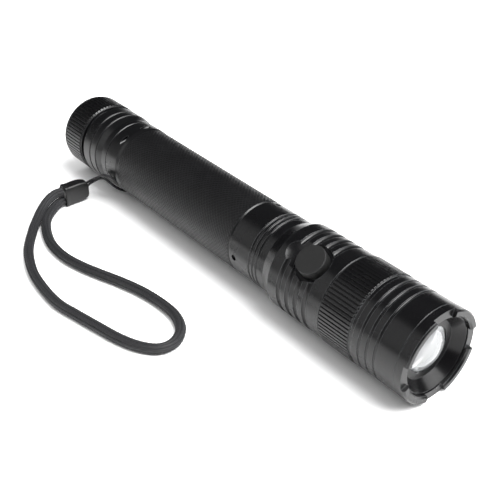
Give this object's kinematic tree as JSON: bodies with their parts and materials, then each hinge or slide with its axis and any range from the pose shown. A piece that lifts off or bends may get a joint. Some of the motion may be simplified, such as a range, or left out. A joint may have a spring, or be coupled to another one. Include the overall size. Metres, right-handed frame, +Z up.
{
  "type": "tactical flashlight",
  "caption": "Black anodised tactical flashlight with a knurled grip, side button, sliding zoom head, crenellated bezel, convex lens, screw-on tail cap and braided wrist strap.",
  "frame": {"origin": "middle of the light's length, on its axis plane, at the lowest point of the head and bezel, on the surface the light lies on", "axes": "+X along the light towards the lens, +Z up, the button and the wrist strap on the -Y side"},
  "size_m": [0.2294, 0.0993, 0.0394],
  "materials": {
    "anodised_black": "black hard-anodised aluminium, satin",
    "button_black": "bead-blasted black anodised aluminium",
    "retainer_black": "black moulded, semi-gloss",
    "rubber_black": "black nitrile rubber",
    "silicone_grey": "grey silicone",
    "lens_clear": "clear moulded optic",
    "brass": "turned brass",
    "spring_steel": "nickel-plated spring steel",
    "aluminium_bare": "bare turned aluminium",
    "circuit_green": "green solder mask on glass-epoxy board",
    "board_white": "white solder mask on an aluminium board",
    "emitter_yellow": "yellow phosphor",
    "plastic_natural": "natural nylon",
    "plastic_dark": "black moulded nylon",
    "cell_wrap": "shrink wrap",
    "wire_red": "wire insulation",
    "cord_black": "braided black polyester cord"
  },
  "bodies": {
    "body": {"battery_tube": "anodised_black", "tail_o_ring": "rubber_black", "cell_rear": "cell_wrap", "cell_front": "cell_wrap", "neck_o_ring": "rubber_black", "switch_housing": "anodised_black", "driver_board": "circuit_green", "driver_contact": "brass", "driver_retaining_ring": "brass", "switch_board_holder": "plastic_natural", "switch_board": "circuit_green", "tact_switch": "plastic_dark", "switch_gasket": "silicone_grey", "switch_retaining_ring": "anodised_black", "led_pill": "aluminium_bare", "led_board": "board_white", "led_emitter": "emitter_yellow", "led_centring_ring": "plastic_natural", "led_screws": "spring_steel", "lead_wires": "wire_red", "zoom_o_ring": "rubber_black", "head_stop_ring": "spring_steel", "strap_string": "cord_black", "strap_sleeve": "plastic_dark", "strap_loop": "cord_black"},
    "tail_contact": {"tail_spring": "spring_steel"},
    "tail_cap": {"tail_cap": "anodised_black", "contact_retaining_ring": "brass", "tail_contact_board": "circuit_green"},
    "power_button": {"button_cap": "button_black", "switch_plunger": "plastic_natural"},
    "zoom_head": {"head_shell": "anodised_black", "strike_bezel": "anodised_black", "lens": "lens_clear", "lens_o_ring": "rubber_black", "lens_retainer": "retainer_black"}
  },
  "joints": [
    {"name": "head_zoom", "type": "slide", "parent": "body", "child": "zoom_head", "axis": [1, 0, 0], "range_m": [0, 0.008]},
    {"name": "button_press", "type": "slide", "parent": "body", "child": "power_button", "axis": [0, 0.5505, -0.8348], "range_m": [0, 0.001], "stiffness_N_per_m": 800, "springref_m": -0.0005},
    {"name": "tail_cap_advance", "type": "slide", "parent": "body", "child": "tail_contact", "axis": [-1, 0, 0], "range_m": [0, 0.006]},
    {"name": "tail_cap_turn", "type": "hinge", "parent": "tail_contact", "child": "tail_cap", "pos_m": [-0.09, 0, 0.0191], "axis": [-1, 0, 0], "range_deg": [0, 1440]}
  ],
  "couplings": [
    {"joint": "tail_cap_turn", "follows": "tail_cap_advance", "rad_per_m": 4188.8}
  ]
}
